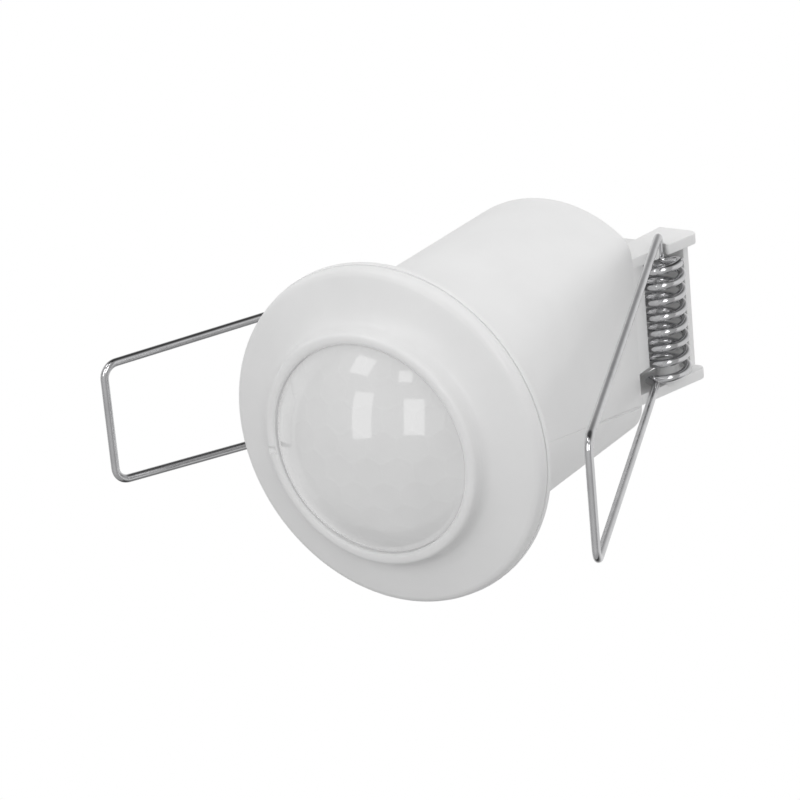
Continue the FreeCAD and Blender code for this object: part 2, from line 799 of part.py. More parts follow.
def terminal_block():
    """The mains terminals: one screw clamp for each of three wires."""
    half_length, half_width = cell("block_half_length"), cell("block_half_width")
    span = (cell("block_front"), cell("block_rear"))
    height, cage_half, pocket_half = cell("entry_height"), cell("cage_half"), cell("cage_half") + 0.1
    shell = box("block_shell", (-half_length, half_length), (-half_width, half_width), span)
    tools, clamps, screws = [], [], []
    for pole in (-1, 0, 1):
        x = cell("pole_pitch") * pole
        tag = f"pole_{pole + 1}"
        tools.append(cylinder(f"{tag}_funnel", 1.8, 4.0, (x, half_width - 3.0, height), ALONG_Y))
        pocket_x = (x - pocket_half, x + pocket_half)
        tools.append(box(f"{tag}_pocket", pocket_x, (-2.9, 2.9), (height - 2.7, height + 2.7)))
        tools.append(cylinder(f"{tag}_well", 1.95, 6.0, (x, 0, height + 2.0)))
        cage = box(f"{tag}_cage", (x - cage_half, x + cage_half), (-2.7, 2.7), (height - 2.5, height + 2.5))
        bore = cylinder(f"{tag}_bore", 1.5, 7.0, (x, -3.5, height), ALONG_Y)
        thread = cylinder(f"{tag}_thread", 1.15, 3.0, (x, 0, height + 1.0))
        clamps.append(cut(f"{tag}_clamp", cage, [bore, thread]))
        shank = cylinder(f"{tag}_shank", 1.05, 3.0, (x, 0, height + 1.2))
        head = cylinder(f"{tag}_head", 1.75, 1.5, (x, 0, height + 3.6))
        slot = box(f"{tag}_slot", (x - 0.3, x + 0.3), (-2.0, 2.0), (height + 4.5, height + 5.3))
        screws.append(cut(f"{tag}_screw", fuse(f"{tag}_screw_blank", [shank, head]), [slot]))
    node(cut("block_cut", shell, tools), "terminal_block")
    node(group("clamp_group", clamps), "terminal_clamps")
    node(group("terminal_screw_group", screws), "terminal_screws")


def terminal_cover():
    """The box over the terminals, with an ear for a screw on each side of it."""
    deck, rear = cell("body_length"), cell("cover_rear")
    half_length, half_width = cell("cover_half_length"), cell("cover_half_width")
    wall, side_wall = cell("cover_wall"), cell("cover_side_wall")
    ear_y, ear_radius, ear_top = cell("ear_y"), cell("ear_radius"), deck + cell("ear_thickness")
    shell = box("cover_shell", (-half_length, half_length), (-half_width, half_width), (deck, rear))
    inside = box(
        "cover_inside",
        (-half_length + side_wall, half_length - side_wall),
        (-half_width + wall, half_width - wall),
        (deck - 1.0, rear - wall),
    )
    solids, holes = [shell], [inside]
    for tag, side in (("near", -1), ("far", 1)):
        y = ear_y * side
        web = sorted([half_width * side, y], key=lambda size: size.value)
        solids.append(cylinder(f"ear_{tag}", ear_radius, ear_top - deck, (0, y, deck)))
        solids.append(box(f"ear_web_{tag}", (-ear_radius, ear_radius), web, (deck, ear_top)))
        holes.append(cylinder(f"ear_hole_{tag}", 1.4, 3.0, (0, y, deck - 1.0)))
    for pole in (-1, 0, 1):
        x, depth = cell("pole_pitch") * pole, wall + 1.0
        entry = (x, half_width - wall - 0.5, cell("entry_height"))
        driver = (x, 0, rear - wall - 0.5)
        holes.append(cylinder(f"wire_entry_{pole + 1}", cell("entry_radius"), depth, entry, ALONG_Y))
        holes.append(cylinder(f"driver_hole_{pole + 1}", cell("driver_radius"), depth, driver))
    node(cut("cover_cut", fuse("cover_blank", solids), holes), "terminal_cover")


def cover_screws():
    """Two pan-head screws with a slot across the head, one through each ear of the cover."""
    base = cell("body_length") + cell("ear_thickness")
    head_radius, head_height = cell("screw_head_radius"), cell("screw_head")
    shank_radius, shank_length = cell("screw_radius"), cell("screw_length")
    screws = []
    for tag, side in (("near", -1), ("far", 1)):
        y = cell("ear_y") * side
        head = cylinder(f"screw_{tag}_head", head_radius, head_height, (0, y, base))
        shank = cylinder(f"screw_{tag}_shank", shank_radius, shank_length, (0, y, base - shank_length))
        slot = box(
            f"screw_{tag}_slot", (-0.3, 0.3), (y - 3.0, y + 3.0), (base + head_height * 0.5, base + 2.0)
        )
        screws.append(cut(f"screw_{tag}", fuse(f"screw_{tag}_blank", [head, shank]), [slot]))
    node(group("cover_screw_group", screws), "cover_screws")


def trimmer(label, side):
    """A round trimmer under the deck, and the knob that stands through the deck above it."""
    x, y = cell("trimmer_x") * side, -cell("trimmer_y")
    under = cell("body_length") - cell("body_wall")
    height, top = cell("trimmer_height"), cell("knob_top")
    case_at = (x, y, under - height - 0.3)
    node(cylinder(f"{label}_case", cell("trimmer_radius"), height, case_at), f"{label}_trimmer")
    grip = cylinder(f"{label}_grip", cell("knob_radius"), top - under + 0.1, (x, y, under - 0.1))
    long, short, half = cell("knob_slot"), cell("knob_slot") - 0.8, 0.4
    depth = (top - 1.2, top + 1.0)
    cross = [
        box(f"{label}_slot_x", (x - long, x + long), (y - half, y + half), depth),
        box(f"{label}_slot_y", (x - half, x + half), (y - short, y + long), depth),
    ]
    node(cut(f"{label}_knob_cut", grip, cross), f"{label}_knob")


# ---------------------------------------------------------------- spring clips


def coil_end():
    """Where the coil's wire stops: its place along the axis, along the bail and round the axis."""
    angle = 2 * math.pi * SIZES["coil_turns"] - math.pi / 2
    radius = SIZES["coil_radius"]
    along_axis = SIZES["coil_pitch"] * SIZES["coil_turns"] - SIZES["coil_start"]
    return Vector(along_axis, radius * math.cos(angle), radius * math.sin(angle))


def bail(label, side, rest_angle):
    """
    The wire loop of a clip. From one end of the coil the wire cranks in to the axis and runs through
    the slotted lug as a pin, then down the first leg and across. The second leg comes back up inside
    the other lug, steps in beside the tab and turns back into the coil's other end.
    """
    crank, reach = SIZES["coil_radius"], SIZES["bail_length"]
    root_x, end = SIZES["coil_leg_root"], coil_end()
    points = [
        Vector(-SIZES["coil_start"], 0, -crank),
        Vector(-SIZES["coil_start"], 0, 0),
        Vector(-SIZES["pin_leg_root"], 0, 0),
        Vector(-SIZES["pin_leg_tip"], reach, 0),
        Vector(SIZES["coil_leg_tip"], reach, 0),
        Vector(root_x, 6.2, 0.9),
        Vector(root_x + 0.35, 2.4, crank + 0.05),
        end,
    ]
    small, large = SIZES["bend_radius"], SIZES["tip_bend_radius"]
    path = doc.addObject("Part::Feature", label + "_path")
    pieces = rounded_path(points, [small, small, large, large, small * 1.5, small * 0.8])
    path.Shape = Part.Wire([piece.toShape() for piece in pieces])
    section = doc.addObject("Part::Circle", label + "_section")
    section.setExpression("Radius", cell("wire_radius").text)
    section.Placement = Placement(points[0], ALONG_Z)
    sweep = doc.addObject("Part::Sweep", label + "_sweep")
    sweep.Sections = [section]
    sweep.Spine = (path, [f"Edge{index + 1}" for index in range(len(pieces))])
    sweep.Solid = True
    across, along = clip_directions(side, rest_angle)
    place(sweep, (cell("pivot_x") * side, 0, cell("pivot_z")), Rotation(across, along, Vector(), "XYZ"))
    node(sweep, label)


def coil(label, side, rest_angle):
    """The coil between a clip's lugs, wound about the pivot axis."""
    helix = doc.addObject("Part::Helix", label + "_helix")
    helix.setExpression("Pitch", cell("coil_pitch").text)
    helix.setExpression("Height", "sizes.coil_pitch * sizes.coil_turns")
    helix.setExpression("Radius", cell("coil_radius").text)
    wire = doc.addObject("Part::Circle", label + "_wire")
    wire.setExpression("Radius", cell("wire_radius").text)
    wire.Placement = Placement(Vector(SIZES["coil_radius"], 0, 0), ALONG_Y)
    sweep = doc.addObject("Part::Sweep", label + "_sweep")
    sweep.Sections = [wire]
    sweep.Spine = (helix, ["Edge1"])
    sweep.Solid = True
    sweep.Frenet = True
    across, along = clip_directions(side, rest_angle)
    outward = along.cross(across)
    turn = Rotation(outward, Vector(), across, "ZXY")
    place(sweep, (cell("pivot_x") * side, -cell("coil_start") * side, cell("pivot_z")), turn)
    node(sweep, label)


def clip_directions(side, rest_angle):
    """The pivot axis, from the slotted lug to the other, and the bail's own direction at rest."""
    angle = math.radians(SIZES[rest_angle])
    return Vector(0, side, 0), Vector(side * math.sin(angle), 0, -math.cos(angle))


# ---------------------------------------------------------------- assembly and export


housing()
front_bezel()
lens_dome()
lens_retainer()
detector()
light_baffle()
light_sensor()
indicator_led()
sensor_board()
power_board()
relay()
film_capacitor()
filter_capacitor()
varistor()
fuse_link()
terminal_block()
terminal_cover()
cover_screws()
trimmer("time", 1)
trimmer("light_level", -1)
for name, side in (("right", 1), ("left", -1)):
    bail(f"{name}_clip", side, f"{name}_bail_angle")
    coil(f"{name}_coil", side, f"{name}_bail_angle")

doc.recompute()
for obj in doc.Objects:
    if {"Invalid", "Error"} & set(obj.State):
        raise RuntimeError(f"{obj.Label} did not rebuild: {obj.State}")
os.makedirs("parts", exist_ok=True)
for obj in nodes:
    if obj.Shape.isNull() or not obj.Shape.isValid():
        raise RuntimeError(f"{obj.Label} has no valid shape")
    obj.Shape.exportStep(f"parts/{obj.Label}.step")
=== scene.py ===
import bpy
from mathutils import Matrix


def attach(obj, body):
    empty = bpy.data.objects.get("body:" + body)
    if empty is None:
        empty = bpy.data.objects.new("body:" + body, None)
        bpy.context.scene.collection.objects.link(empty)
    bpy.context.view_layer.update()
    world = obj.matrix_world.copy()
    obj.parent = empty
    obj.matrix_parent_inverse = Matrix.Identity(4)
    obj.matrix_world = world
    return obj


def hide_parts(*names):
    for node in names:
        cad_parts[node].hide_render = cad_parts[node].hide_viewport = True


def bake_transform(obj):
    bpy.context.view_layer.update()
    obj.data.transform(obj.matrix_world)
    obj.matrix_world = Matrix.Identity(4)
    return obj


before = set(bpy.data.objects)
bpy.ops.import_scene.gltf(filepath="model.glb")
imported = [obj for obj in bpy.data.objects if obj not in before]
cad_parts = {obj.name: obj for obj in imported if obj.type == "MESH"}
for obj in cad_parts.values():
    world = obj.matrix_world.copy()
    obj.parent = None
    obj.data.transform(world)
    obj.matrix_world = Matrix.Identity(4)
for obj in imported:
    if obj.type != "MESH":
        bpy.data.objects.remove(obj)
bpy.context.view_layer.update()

import math

import bmesh
import bpy
from mathutils import Matrix, Vector

# A recessed ceiling motion sensor, in the CAD model's frame: +Z points up into the ceiling, the
# lens faces -Z and the two spring clips are on the +X and -X sides. The object's sizes are in
# millimetres until its mesh is made; the camera, the lights and the noise scales are in metres.

MM = 0.001
SCENE = bpy.context.scene


# ---------------------------------------------------------------- materials


def node_material(name):
    """A material with its Principled shader, a way to add nodes and a way to link them."""
    material = bpy.data.materials.new(name)
    material.use_nodes = True
    tree = material.node_tree
    shader = tree.nodes["Principled BSDF"]

    def add(kind, **settings):
        made = tree.nodes.new(kind)
        for key, value in settings.items():
            setattr(made, key, value)
        return made

    return material, shader, add, tree.links.new


def noise_of(add, link, coordinates, scale, detail=2.0, roughness=0.5):
    """A noise, its scale counted per metre."""
    noise = add("ShaderNodeTexNoise")
    noise.inputs["Scale"].default_value = scale
    noise.inputs["Detail"].default_value = detail
    noise.inputs["Roughness"].default_value = roughness
    link(coordinates, noise.inputs["Vector"])
    return noise.outputs["Fac"]


def ranged(add, link, value, low, high, start=0.3, end=0.7):
    """Maps start..end, by default a noise's useful middle, onto low..high."""
    mapped = add("ShaderNodeMapRange")
    for key, number in (("From Min", start), ("From Max", end), ("To Min", low), ("To Max", high)):
        mapped.inputs[key].default_value = number
    link(value, mapped.inputs["Value"])
    return mapped.outputs["Result"]


def tinted(add, link, value, dark, light):
    """Runs a noise through a ramp between two colours."""
    ramp = add("ShaderNodeValToRGB")
    for element, position, colour in zip(ramp.color_ramp.elements, (0.3, 0.7), (dark, light)):
        element.position = position
        element.color = (*colour, 1.0)
    link(value, ramp.inputs["Fac"])
    return ramp.outputs["Color"]


def bumped(add, link, height, distance):
    """The normal of a relief that is a distance in millimetres high."""
    bump = add("ShaderNodeBump")
    bump.inputs["Strength"].default_value = 1.0
    bump.inputs["Distance"].default_value = distance * MM
    link(height, bump.inputs["Height"])
    return bump.outputs["Normal"]


def surface(name, dark, light, rough, cloud=90, grain=2600, bump=0.006, **sockets):
    """A solid finish: slow colour drift, uneven gloss and a fine grain."""
    material, shader, add, link = node_material(name)
    where = add("ShaderNodeTexCoord").outputs["Object"]
    drift = noise_of(add, link, where, cloud, 3.0)
    fine = noise_of(add, link, where, grain, 2.0, 0.6)
    link(tinted(add, link, drift, dark, light), shader.inputs["Base Color"])
    link(ranged(add, link, fine, rough[0], rough[1]), shader.inputs["Roughness"])
    link(bumped(add, link, fine, bump), shader.inputs["Normal"])
    for key, value in sockets.items():
        shader.inputs[key.replace("_", " ")].default_value = value
    return material


def lens_material():
    """
    Milky polyethylene: a clear gloss over a body in which the lens cells show faintly. Its own glow
    stands for the light that scatters inside it.
    """
    material, shader, add, link = node_material("lens_milk")
    where = add("ShaderNodeTexCoord").outputs["Object"]
    relief = add("ShaderNodeAttribute", attribute_name="cell_relief").outputs["Fac"]
    drift = noise_of(add, link, where, 120, 3.0)
    fine = noise_of(add, link, where, 1500, 2.0)
    milk = tinted(add, link, drift, (0.275, 0.275, 0.275), (0.29, 0.29, 0.29))
    # Painted highlight: the colour, and so the glow made from it, is up to 1.2% brighter where the
    # cells stand out, most along their borders.
    border_highlight = ranged(add, link, relief, 1.0, 1.012, 0.5, 1.0)
    scaled = add("ShaderNodeVectorMath", operation="SCALE")
    link(milk, scaled.inputs[0])
    link(border_highlight, scaled.inputs["Scale"])
    link(scaled.outputs["Vector"], shader.inputs["Base Color"])
    link(scaled.outputs["Vector"], shader.inputs["Emission Color"])
    link(ranged(add, link, fine, 0.42, 0.5), shader.inputs["Roughness"])
    link(bumped(add, link, relief, 0.08), shader.inputs["Normal"])
    for socket, value in (
        ("Specular IOR Level", 0.1),
        ("Coat Weight", 1.0),
        ("Coat Roughness", 0.06),
        ("Coat IOR", 1.5),
        ("Emission Strength", 1.36),
    ):
        shader.inputs[socket].default_value = value
    return material


def wire_material():
    """Bright nickel-plated spring wire, with faint draw marks."""
    material, shader, add, link = node_material("spring_wire")
    where = add("ShaderNodeTexCoord").outputs["Object"]
    drift = noise_of(add, link, where, 260, 3.0)
    fine = noise_of(add, link, where, 5200, 2.0)
    metal = tinted(add, link, drift, (0.60, 0.60, 0.61), (0.70, 0.70, 0.71))
    link(metal, shader.inputs["Base Color"])
    link(ranged(add, link, fine, 0.09, 0.13), shader.inputs["Roughness"])
    link(bumped(add, link, fine, 0.0004), shader.inputs["Normal"])
    shader.inputs["Metallic"].default_value = 1.0
    return material


BODY_WHITE = surface("body_white", (0.80, 0.80, 0.80), (0.83, 0.83, 0.83), (0.36, 0.46), bump=0.004)
BEZEL_WHITE = surface("bezel_white", (0.78, 0.78, 0.78), (0.81, 0.81, 0.81), (0.3, 0.4), bump=0.005)
COVER_WHITE = surface("cover_white", (0.74, 0.74, 0.74), (0.8, 0.8, 0.8), (0.42, 0.55), bump=0.008)
LENS_MILK = lens_material()
WIRE = wire_material()

CREAM = ((0.72, 0.70, 0.62), (0.80, 0.78, 0.71))
TRIMMER_BLUE = ((0.08, 0.18, 0.36), (0.12, 0.24, 0.46))
BOARD_GREEN = ((0.02, 0.17, 0.07), (0.05, 0.30, 0.13))

CARRIED_OVER = {
    "terminal_cover": COVER_WHITE,
    "lens_retainer": COVER_WHITE,
    "light_baffle": surface("baffle_white", (0.70, 0.70, 0.69), (0.80, 0.80, 0.78), (0.5, 0.65)),
    "cover_screws": surface(
        "zinc", (0.50, 0.51, 0.52), (0.66, 0.67, 0.68), (0.22, 0.38), cloud=700, Metallic=1.0
    ),
    "terminal_screws": surface(
        "screw_steel", (0.48, 0.48, 0.50), (0.62, 0.62, 0.64), (0.25, 0.4), cloud=700, Metallic=1.0
    ),
    "terminal_clamps": surface(
        "brass", (0.62, 0.46, 0.20), (0.78, 0.62, 0.32), (0.25, 0.4), cloud=500, Metallic=1.0
    ),
    "terminal_block": surface("block_grey", (0.40, 0.42, 0.43), (0.50, 0.52, 0.53), (0.4, 0.55)),
    "time_knob": surface("time_cream", *CREAM, (0.35, 0.5)),
    "light_level_knob": surface("level_cream", *CREAM, (0.35, 0.5)),
    "time_trimmer": surface("time_case", *TRIMMER_BLUE, (0.35, 0.5)),
    "light_level_trimmer": surface("level_case", *TRIMMER_BLUE, (0.35, 0.5)),
    "infrared_detector": surface(
        "can_steel", (0.55, 0.53, 0.48), (0.70, 0.68, 0.62), (0.2, 0.35), cloud=600, Metallic=1.0
    ),
    "detector_window": surface(
        "filter_dark", (0.05, 0.04, 0.06), (0.10, 0.08, 0.11), (0.05, 0.12), Coat_Weight=0.6
    ),
    "detector_pins": surface(
        "gold_pins", (0.70, 0.58, 0.30), (0.82, 0.70, 0.42), (0.2, 0.35), Metallic=1.0
    ),
    "light_sensor": surface(
        "photocell", (0.55, 0.40, 0.22), (0.78, 0.62, 0.42), (0.25, 0.4), cloud=1800
    ),
    "indicator_led": surface(
        "led_red", (0.55, 0.03, 0.02), (0.72, 0.06, 0.04), (0.06, 0.14), Coat_Weight=0.8
    ),
    "sensor_board": surface("sensor_mask", *BOARD_GREEN, (0.25, 0.4), cloud=900, Coat_Weight=0.3),
    "power_board": surface("power_mask", *BOARD_GREEN, (0.25, 0.4), cloud=900, Coat_Weight=0.3),
    "signal_chip": surface("chip_black", (0.02, 0.02, 0.02), (0.05, 0.05, 0.05), (0.5, 0.65)),
    "board_header": surface("header_black", (0.02, 0.02, 0.02), (0.06, 0.06, 0.06), (0.4, 0.55)),
    "relay": surface("relay_black", (0.03, 0.03, 0.04), (0.07, 0.07, 0.08), (0.35, 0.5)),
    "film_capacitor": surface("film_yellow", (0.62, 0.46, 0.06), (0.78, 0.60, 0.12), (0.3, 0.42)),
    "filter_capacitor": surface(
        "sleeve_navy", (0.03, 0.05, 0.16), (0.06, 0.09, 0.24), (0.25, 0.38)
    ),
    "varistor": surface("varistor_blue", (0.07, 0.20, 0.42), (0.12, 0.28, 0.54), (0.3, 0.42)),
    "fuse": surface(
        "fuse_glass", (0.62, 0.66, 0.66), (0.78, 0.82, 0.82), (0.08, 0.2), Coat_Weight=0.7
    ),
}


# ---------------------------------------------------------------- meshes


def solid(name, vertices, faces, finish):
    """A closed mesh from points in millimetres, its faces turned outwards."""
    data = bpy.data.meshes.new(name)
    data.from_pydata([[c * MM for c in v] for v in vertices], [], faces)
    shape = bmesh.new()
    shape.from_mesh(data)
    bmesh.ops.recalc_face_normals(shape, faces=shape.faces)
    shape.to_mesh(data)
    shape.free()
    data.materials.append(finish)
    made = bpy.data.objects.new(name, data)
    SCENE.collection.objects.link(made)
    return made


def shade(made, sharp_degrees=32):
    """Smooth shading that keeps edges sharper than an angle."""
    data = made.data
    data.polygons.foreach_set("use_smooth", [True] * len(data.polygons))
    data.set_sharp_from_angle(angle=math.radians(sharp_degrees))
    return made


def skin(rings, loop=False):
    """
    Vertices and faces of a closed tube through rings of equally many points. Its ends are capped,
    or its last ring is joined to its first.
    """
    count = len(rings[0])
    vertices = [point for ring in rings for point in ring]
    faces = []
    for row in range(len(rings) if loop else len(rings) - 1):
        here, there = row * count, ((row + 1) % len(rings)) * count
        for k in range(count):
            following = (k + 1) % count
            faces.append((here + k, here + following, there + following, there + k))
    if not loop:
        faces.append(tuple(range(count)))
        faces.append(tuple(range(len(vertices) - count, len(vertices))))
    return vertices, faces


def rounded_corners(points, radii, steps=7):
    """The closed outline through 2D points with each corner replaced by an arc."""
    outline = []
    count = len(points)
    for index, radius in enumerate(radii):
        corner = Vector(points[index])
        back = (Vector(points[index - 1]) - corner).normalized()
        ahead = (Vector(points[(index + 1) % count]) - corner).normalized()
        if radius <= 0:
            outline.append(tuple(corner))
            continue
        half_angle = back.angle(ahead) / 2
        middle = (back + ahead).normalized()
        centre = corner + middle * (radius / math.sin(half_angle))
        start = corner + back * (radius / math.tan(half_angle)) - centre
        end = corner + ahead * (radius / math.tan(half_angle)) - centre
        for step in range(steps + 1):
            spoke = start.slerp(end, step / steps)
            outline.append(tuple(centre + spoke * radius))
    return outline


def prism(name, outline, low, high, finish, axis="Y", soften=0.18):
    """An outline pushed along an axis between two places, with softened edges."""
    if axis == "Y":
        rings = [[(x, at, z) for x, z in outline] for at in (low, high)]
    else:
        rings = [[(x, y, at) for x, y in outline] for at in (low, high)]
    made = solid(name, *skin(rings), finish)
    if soften:
        soften_edges(made, soften)
    return made


def soften_edges(made, width):
    """Rounds the sharp edges of a solid."""
    shape = bmesh.new()
    shape.from_mesh(made.data)
    least = math.radians(35)
    bmesh.ops.bevel(
        shape,
        geom=[edge for edge in shape.edges if edge.is_manifold and edge.calc_face_angle() > least],
        offset=width * MM,
        segments=2,
        profile=0.5,
        affect="EDGES",
        clamp_overlap=True,
    )
    shape.to_mesh(made.data)
    shape.free()


def slab(name, x, y, z, finish, soften=0.18):
    """A block between two places on each axis."""
    corners = [(x[0], y[0]), (x[1], y[0]), (x[1], y[1]), (x[0], y[1])]
    return prism(name, corners, z[0], z[1], finish, axis="Z", soften=soften)


def rod(name, centre, radius, low, high, finish, axis="Z", sides=96, flare=0.0):
    """A round bar along an axis, which may flare at its high end to cut a chamfer."""
    stations = [(low, radius), (high, radius)]
    if flare:
        stations = [(low, radius), (high - flare, radius), (high, radius + flare)]
    rings = []
    for at, r in stations:
        ring = []
        for k in range(sides):
            angle = 2 * math.pi * k / sides
            a, b = centre[0] + r * math.cos(angle), centre[1] + r * math.sin(angle)
            ring.append({"X": (at, a, b), "Y": (a, at, b), "Z": (a, b, at)}[axis])
        rings.append(ring)
    return solid(name, *skin(rings), finish)


def combine(base, tools, operation):
    """Joins solids to a base, or cuts them from it, and removes them."""
    bpy.context.view_layer.update()
    for tool in tools:
        modifier = base.modifiers.new("combine", "BOOLEAN")
        modifier.operation = operation
        modifier.solver = "EXACT"
        modifier.object = tool
        graph = bpy.context.evaluated_depsgraph_get()
        result = bpy.data.meshes.new_from_object(base.evaluated_get(graph))
        base.modifiers.clear()
        base.data = result
        bpy.data.objects.remove(tool)
    return base


def weighted(made):
    """Shading that follows the large faces, so that softened edges look rounded."""
    modifier = made.modifiers.new("even_shading", "WEIGHTED_NORMAL")
    modifier.keep_sharp = True
    modifier.weight = 90
    return made


def smooth_line(points, steps):
    """A Catmull-Rom line through 2D points."""
    line = []
    ends = [points[0]] + list(points) + [points[-1]]
    for before, start, end, after in zip(ends, ends[1:], ends[2:], ends[3:]):
        for step in range(steps):
            t = step / steps
            place = []
            for a, b, c, d in zip(before, start, end, after):
                bend = (2 * a - 5 * b + 4 * c - d) * t * t + (3 * b - a - 3 * c + d) * t**3
                place.append(0.5 * (2 * b + (c - a) * t + bend))
            line.append(tuple(place))
    line.append(tuple(points[-1]))
    return line


def lathe(name, profile, finish, segments=256):
    """A closed profile of (radius, height) points turned about Z."""
    rings = []
    for r, z in profile:
        angles = [2 * math.pi * k / segments for k in range(segments)]
        rings.append([(r * math.cos(a), r * math.sin(a), z) for a in angles])
    return solid(name, *skin(rings, loop=True), finish)


# ---------------------------------------------------------------- housing

FRONT_RADIUS, REAR_RADIUS, BODY_LENGTH, WALL = 20.3, 20.1, 46.7, 1.8
REAR_FLAT, REAR_CORNER, CREASE_RADIUS = 14.3, 4.8, 0.3
FLAT_START = math.radians(2)
FLANGE_RADIUS, LIP, FLANGE_FILLET = 26.0, 1.0, 0.9
DECK_ROUND, LIP_BACK_ROUND, LIP_FRONT_ROUND = 0.55, 0.3, 0.12
LUG_INNER, LUG_THICKNESS, LUG_REACH, BRACKET_TOP = 10.2, 1.7, 18.3, 60.8
PLATE, PLATE_REACH = 1.6, 16.0
BAY_FRONT, BAY_BACK, BAY_STEP = 8.9, 10.2, 52.0
TAB_TOP, TAB_END, TAB_DEPTH = 49.7, 6.8, 1.2
SPIGOT_RADIUS, SPIGOT_LENGTH = 1.8, 3.0
PIVOT = Vector((15.0, 53.7))
SLOT_RADIUS, SLOT_ANGLE = 0.78, math.radians(-35)
KNOB_HOLE, KNOB_CHAMFER, KNOB_X, KNOB_Y = 3.2, 0.3, 6.3, -13.6
OPENING_X, OPENING_Y = 8.0, 6.0
BELOW_DECK, ABOVE_DECK = 40.0, 50.0
# How far joined pieces run into each other.
SUNK, LUG_ROOT, SPIGOT_ROOT, WALL_END = 1.0, 1.2, 0.5, 0.4


def rear_corner(inset):
    """The centre of the rear section's rounded corner, and where its arc meets the large one."""
    big, small, flat = REAR_RADIUS - inset, REAR_CORNER - inset, REAR_FLAT - inset
    centre = Vector((flat - small, math.sqrt((big - small) ** 2 - (flat - small) ** 2)))
    return centre, math.atan2(centre.y, centre.x)


def body_section(share, inset=0.0):
    """Points round the body: a circle at the flange, share 0, with two flats at the rear, 1."""
    centre, turn = rear_corner(inset)
    small, big, flat = REAR_CORNER - inset, REAR_RADIUS - inset, REAR_FLAT - inset
    far_centre = Vector((-centre.x, centre.y))
    half = []

    def span(start, end, count, rear):
        for k in range(count):
            t = k / count
            angle = start + (end - start) * t
            circle = Vector((math.cos(angle), math.sin(angle))) * (FRONT_RADIUS - inset)
            half.append(circle.lerp(rear(t), share))

    def arc(middle, radius, start, end):
        def place(t):
            angle = start + (end - start) * t
            return middle + radius * Vector((math.cos(angle), math.sin(angle)))

        return place

    def straight(t):
        return Vector((flat, -centre.y)).lerp(Vector((flat, centre.y)), t)

    far_turn, far_start = math.pi - turn, math.pi - FLAT_START
    span(-FLAT_START, FLAT_START, 16, straight)
    span(FLAT_START, turn, 22, arc(centre, small, 0, turn))
    span(turn, far_turn, 40, arc(Vector((0, 0)), big, turn, far_turn))
    span(far_turn, far_start, 22, arc(far_centre, small, far_turn, math.pi))
    return [(p.x, p.y) for p in half] + [(-p.x, -p.y) for p in half]


def circle_ring(radius, z):
    """A circle whose points match the body's section at the flange."""
    return [(x * radius / FRONT_RADIUS, y * radius / FRONT_RADIUS, z) for x, y in body_section(0)]


def body_ring(z, inset=0.0):
    """The body's section at a height, moved inwards by an inset."""
    return [(x, y, z) for x, y in body_section(min(max(z / BODY_LENGTH, 0), 1), inset)]


def housing_tube():
    """The hollow body and flange: one closed skin from the deck, round the lip and back inside."""
    rings = []
    for step in range(6, -1, -1):
        angle = math.radians(15 * step)
        inset = DECK_ROUND * (1 - math.cos(angle))
        rings.append(body_ring(BODY_LENGTH - DECK_ROUND * (1 - math.sin(angle)), inset))
    straight = BODY_LENGTH - DECK_ROUND
    for step in range(1, 24):
        rings.append(body_ring(straight - (BODY_LENGTH - 1.6) * step / 24))
    for step in range(7):
        angle = math.radians(15 * step)
        radius = FRONT_RADIUS + FLANGE_FILLET * (1 - math.cos(angle))
        rings.append(circle_ring(radius, FLANGE_FILLET * (1 - math.sin(angle))))
    back = (90, LIP_BACK_ROUND, -LIP_BACK_ROUND)
    front = (0, LIP_FRONT_ROUND, -LIP + LIP_FRONT_ROUND)
    for start, edge, height in (back, front):
        for step in range(5):
            angle = math.radians(start - 22.5 * step)
            radius = FLANGE_RADIUS - edge + edge * math.cos(angle)
            rings.append(circle_ring(radius, height + edge * math.sin(angle)))
    rings.append(circle_ring(FRONT_RADIUS - WALL, -LIP))
    for step in range(9):
        rings.append(body_ring((BODY_LENGTH - WALL) * step / 8, WALL))
    return solid("housing_body", *skin(rings), BODY_WHITE)


def slot_edge(lower, upper):
    """The slot for the clip's pin, cut in from the lug's sloping edge and round at the pivot."""
    reach = Vector((math.cos(SLOT_ANGLE), math.sin(SLOT_ANGLE)))
    across = Vector((-reach.y, reach.x)) * SLOT_RADIUS
    edge = upper - lower

    def meet(start):
        offset = start - lower
        travel = (edge.x * offset.y - edge.y * offset.x) / (edge.y * reach.x - edge.x * reach.y)
        return tuple(start + reach * travel)

    turn = math.atan2(-across.y, -across.x)
    round_end = []
    for step in range(13):
        angle = turn - math.pi * step / 12
        spoke = Vector((math.cos(angle), math.sin(angle)))
        round_end.append(tuple(PIVOT + SLOT_RADIUS * spoke))
    return [meet(PIVOT - across), *round_end, meet(PIVOT + across)]


def lug_outline(side, slotted):
    """The side view of a lug; its outer edge slopes outwards towards the rear."""
    root = BODY_LENGTH - LUG_ROOT
    lower, upper = Vector((REAR_FLAT, BODY_LENGTH)), Vector((LUG_REACH - 0.1, BRACKET_TOP - 1.0))
    slot = slot_edge(lower, upper) if slotted else []
    slot_radii = [0.35, *[0] * (len(slot) - 2), 0.35] if slotted else []
    points = [(BAY_FRONT, root), (REAR_FLAT, root), tuple(lower), *slot]
    points += [(LUG_REACH, BRACKET_TOP), (BAY_BACK + 1.0, BRACKET_TOP)]
    points += [(BAY_BACK - 0.2, BAY_STEP), (BAY_FRONT, BAY_STEP)]
    radii = [0, 0, 0, *slot_radii, 1.3, 0.5, 0.3, 0.3]
    return [(x * side, z) for x, z in rounded_corners(points, radii)]


